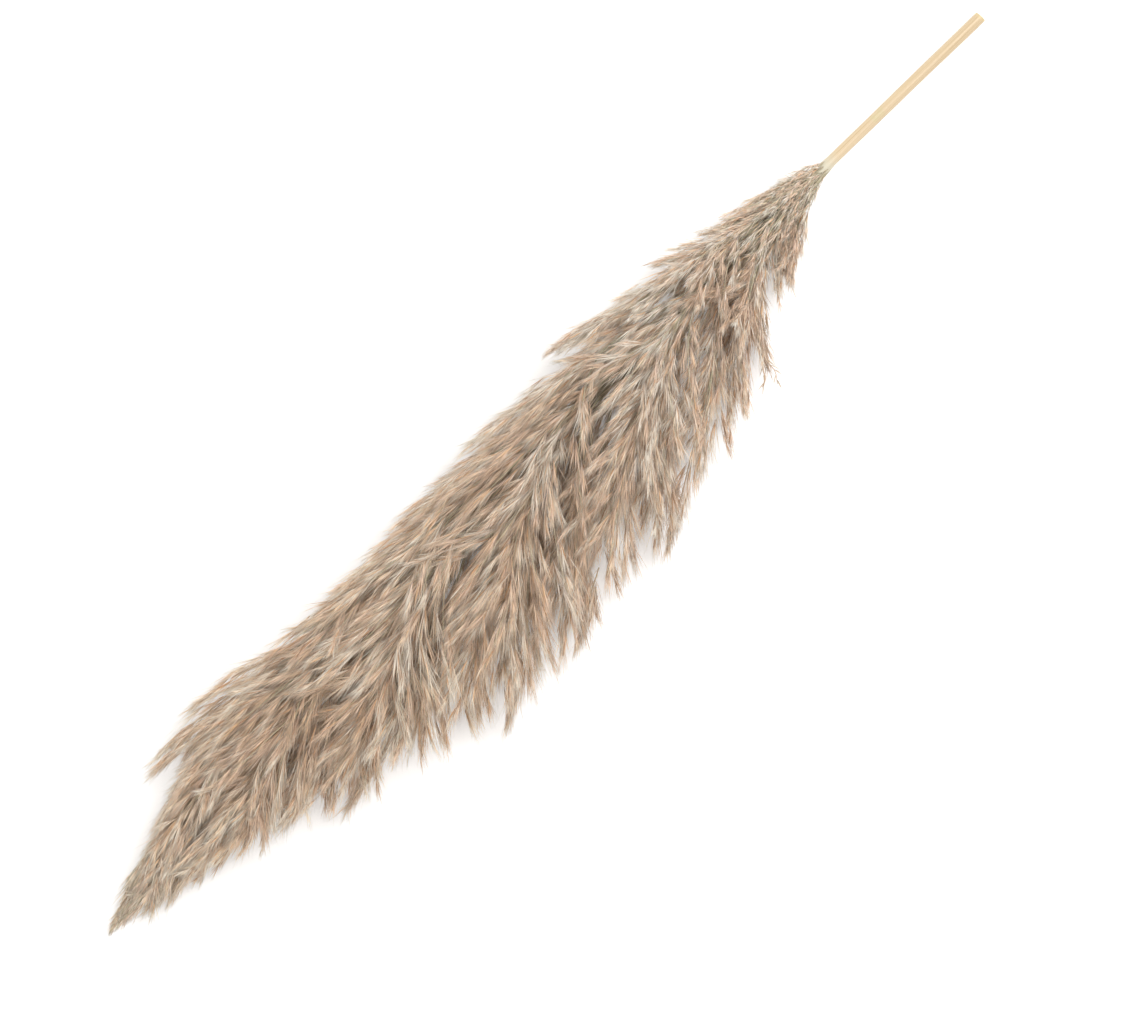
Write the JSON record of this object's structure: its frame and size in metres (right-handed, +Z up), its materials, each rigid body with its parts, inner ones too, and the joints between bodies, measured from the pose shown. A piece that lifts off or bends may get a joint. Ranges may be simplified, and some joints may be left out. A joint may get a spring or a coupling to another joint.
{
  "type": "dried reed",
  "caption": "Dried reed lying down: a bare round cane that carries one long feathery plume, its branches leaning forward and drooping to one side.",
  "frame": {"origin": "centre of the bounding box, on the surface that the reed lies on", "axes": "+X along the reed from its cut end to the plume's tip, +Y towards the side on which the branches droop, +Z up"},
  "size_m": [0.4212, 0.0746, 0.0485],
  "materials": {
    "straw": "smooth dry cane, pale straw",
    "plume": "silky dry spikelets and hairs, silver beige"
  },
  "bodies": {
    "root": {"branch_01": "plume", "branch_02": "plume", "branch_03": "plume", "branch_04": "plume", "branch_05": "plume", "branch_06": "plume", "branch_07": "plume", "branch_08": "plume", "branch_09": "plume", "branch_10": "plume", "branch_11": "plume", "branch_12": "plume", "branch_13": "plume", "branch_14": "plume", "branch_15": "plume", "branch_16": "plume", "branch_17": "plume", "branch_18": "plume", "branch_19": "plume", "branch_20": "plume", "branch_21": "plume", "branch_22": "plume", "branch_23": "plume", "branch_24": "plume", "branch_25": "plume", "branch_26": "plume", "branch_27": "plume", "branch_28": "plume", "branch_29": "plume", "branch_30": "plume", "branch_31": "plume", "branch_32": "plume", "branch_33": "plume", "branch_34": "plume", "branch_35": "plume", "branch_36": "plume", "branch_37": "plume", "branch_38": "plume", "branch_39": "plume", "branch_40": "plume", "branch_41": "plume", "branch_42": "plume", "branch_43": "plume", "branch_44": "plume", "branch_45": "plume", "branch_46": "plume", "branch_47": "plume", "branch_48": "plume", "branch_49": "plume", "branch_50": "plume", "branch_51": "plume", "branch_52": "plume", "branch_53": "plume", "branch_54": "plume", "cane": "straw"}
  },
  "joints": []
}
